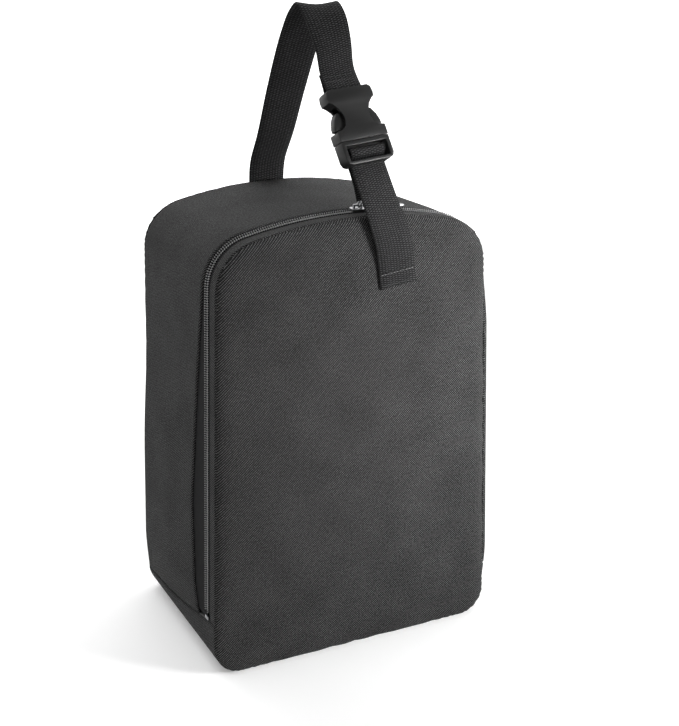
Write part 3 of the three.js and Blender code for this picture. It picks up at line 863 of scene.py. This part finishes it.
def stitch_row(name, start, end, out, body, slot, count, material, width=0.55 * MM):
    """A row of lockstitches from start to end, lying on the face whose outward direction is out."""
    bm = bmesh.new()
    along = (end - start).normalized()
    side = out.cross(along).normalized()
    pitch = (end - start).length / count
    for i in range(count):
        made = bmesh.ops.create_uvsphere(bm, u_segments=6, v_segments=6, radius=0.5)["verts"]
        matrix = Matrix((along * pitch * 0.78, side * width, out * 0.45 * MM)).transposed().to_4x4()
        matrix.translation = start + along * pitch * (i + 0.5)
        bmesh.ops.transform(bm, matrix=matrix, verts=made)
    return to_piece(bm, name, material, body, [], slot)


def world_mm(x, y, z):
    return Vector((x, y, z)) * MM


front_low, front_top = Vector((32.6 * MM, FRONT_WEB_Y, 293 * MM)), Vector((31.1 * MM, FRONT_WEB_Y, 305 * MM))
front_lean = (front_top - front_low).normalized()
front_across = Vector((0, 1, 0)).cross(front_lean).normalized()
front_knots = [
    front_top + front_lean * 0.05 * MM,
    front_top + front_lean * 9 * MM - Vector((0, 0.3 * MM, 0)),
    world_mm(26.8, -83.35, 328),
    world_mm(20.2, -81.75, 349),
]
FRONT_THREADED = [
    (2.4, -28),
    (2.3, -18),
    (1.9, -14.3),
    (-0.6, -12.2),
    (-3, -10.6),
    (-3.5, -8.6),
    (-2.7, -6.4),
    (-0.4, -5.3),
    (2.4, -5.6),
    (4.6, -7.8),
    (5.1, -12),
    (5.2, -20),
    (6.1, -30),
    (8.6, -41),
]
front_knots += [on_buckle(y, z) for y, z in FRONT_THREADED]
front_frames, front_length = webbing_frames(
    front_knots, 150, lambda t: eased_turn(front_across, buckle_across, min(1, t * 2.4))
)
webbing_piece("lower_webbing", front_frames, front_length, "front_strap", "front_strap")
end_frames, end_length = webbing_frames([front_low, front_top], 6, lambda t: front_across)
webbing_piece("lower_webbing_sewn_end", end_frames, end_length, "flap", "strap_front_end")

HANDLE_FOLDED = [
    (1.9, 52.5),
    (2.1, 46),
    (3.1, 39.5),
    (3.4, 35.2),
    (2.8, 33.2),
    (1, 32.4),
    (-0.8, 33.2),
    (-1.4, 35.2),
    (-1.1, 39.5),
    (-0.2, 46),
    (-0.1, 54),
]
HANDLE_FREE = [
    (3.6, -32.6, 463),
    (1.2, -24.2, 482),
    (-0.4, -14.5, 488.5),
    (-1.6, -4, 482),
    (-2.6, 11, 463),
    (-3, 36, 423),
    (-2.6, 58, 386),
    (-1.8, 77.5, 359),
    (-1, 82.55, 344),
    (-1, 82.25, 336.05),
]
LEVEL = Vector((1, 0, 0))
twisted = Vector((math.cos(math.radians(-20)), math.sin(math.radians(-20)), 0))


def handle_across(t):
    if t < 0.36:
        return eased_turn(buckle_across, twisted, (t - 0.17) / 0.19)
    return eased_turn(twisted, LEVEL, (t - 0.36) / 0.64)


handle_knots = [on_buckle(y, z) for y, z in HANDLE_FOLDED] + [world_mm(*p) for p in HANDLE_FREE]
handle_frames, handle_length = webbing_frames(handle_knots, 210, handle_across)
webbing_piece("handle_webbing", handle_frames, handle_length, "handle", "handle_strap")
back_frames, back_length = webbing_frames(
    [Vector((-1 * MM, BACK_WEB_Y, 336 * MM)), Vector((-1 * MM, BACK_WEB_Y, 298 * MM))], 12, lambda t: LEVEL
)
webbing_piece("handle_webbing_sewn_end", back_frames, back_length, "shell", "strap_back_end")

# Stitching: a row across the lower webbing at its joint with the panel and one by its cut end,
# a pair of rows on the back, and a row across the fold-back.
front_out = Vector((0, -1, 0))
face = front_out * 0.95 * MM
# The upper row is drawn in the pale thread, a painted highlight on its stitches.
for name, up_from_end, material in [("upper", 10.6, pale_thread), ("lower", 2.0, thread_material)]:
    middle = front_low + front_lean * up_from_end * MM + face
    stitch_row(
        f"front_end_stitches_{name}",
        middle - front_across * 13.6 * MM,
        middle + front_across * 13.6 * MM,
        front_out,
        "flap",
        "webbing",
        11,
        material,
    )
for z in (333, 303):
    stitch_row(
        f"back_end_stitches_{z}",
        world_mm(-14.6, 83.2, z),
        world_mm(12.6, 83.2, z),
        Vector((0, 1, 0)),
        "shell",
        "webbing",
        11,
        thread_material,
    )
fold_y = -1.15
for z in (45.6, 49.4):
    stitch_row(
        f"fold_stitches_{z:.0f}",
        on_buckle(fold_y, z, -13.4),
        on_buckle(fold_y, z, 13.4),
        -buckle_back,
        "handle",
        "webbing",
        11,
        thread_material,
    )

# ---- Side-release buckle ----
# Moulded acetal with a fine satin skin that shines along its rounded edges. The male half has a
# window with a bar for the webbing, and ribbed finger pads on its two prongs.
acetal, acetal_tree, acetal_shader = new_material("satin_acetal", 0.38)
acetal_shader.inputs["Base Color"].default_value = srgb("#121212")
object_place = add_node(acetal_tree, "ShaderNodeTexCoord").outputs["Object"]
grain = mottle(acetal_tree, object_place, 0.5 * MM, 0.0, 1.0, 2.0)
grain_relief = {"Height": grain, "Distance": 0.02 * MM, "Strength": 0.5}
grain_bump = add_node(acetal_tree, "ShaderNodeBump", {}, grain_relief)
acetal_tree.links.new(grain_bump.outputs["Normal"], acetal_shader.inputs["Normal"])

WINDOW_TOP, WINDOW_FOOT = -3.8, -14.2
WINDOW_WIDER, WINDOW_HIGHER, WINDOW_LOWER = 1.8 * MM, 0.2 * MM, 0.9 * MM
for node, body in [
    ("buckle_male", "front_strap"),
    ("buckle_female", "handle"),
    ("prong_left", "prong_left"),
    ("prong_right", "prong_right"),
]:
    made = from_cad(node, acetal, body, "buckle_nylon", 0.55 * MM)
    if node != "buckle_male":
        continue
    for v in made.data.vertices:  # the window runs from rail to rail and up to the mouth
        out = v.co - BUCKLE_MOUTH
        x, z = out.dot(buckle_across) / MM, out.dot(buckle_up) / MM
        if abs(x) < 16.2 and -14.5 < z < -3.5:
            if abs(x) > 15.4:
                v.co += buckle_across * math.copysign(WINDOW_WIDER, x)
            if abs(z - WINDOW_TOP) < 0.2:
                v.co += buckle_up * WINDOW_HIGHER
            elif abs(z - WINDOW_FOOT) < 0.2:
                v.co -= buckle_up * WINDOW_LOWER
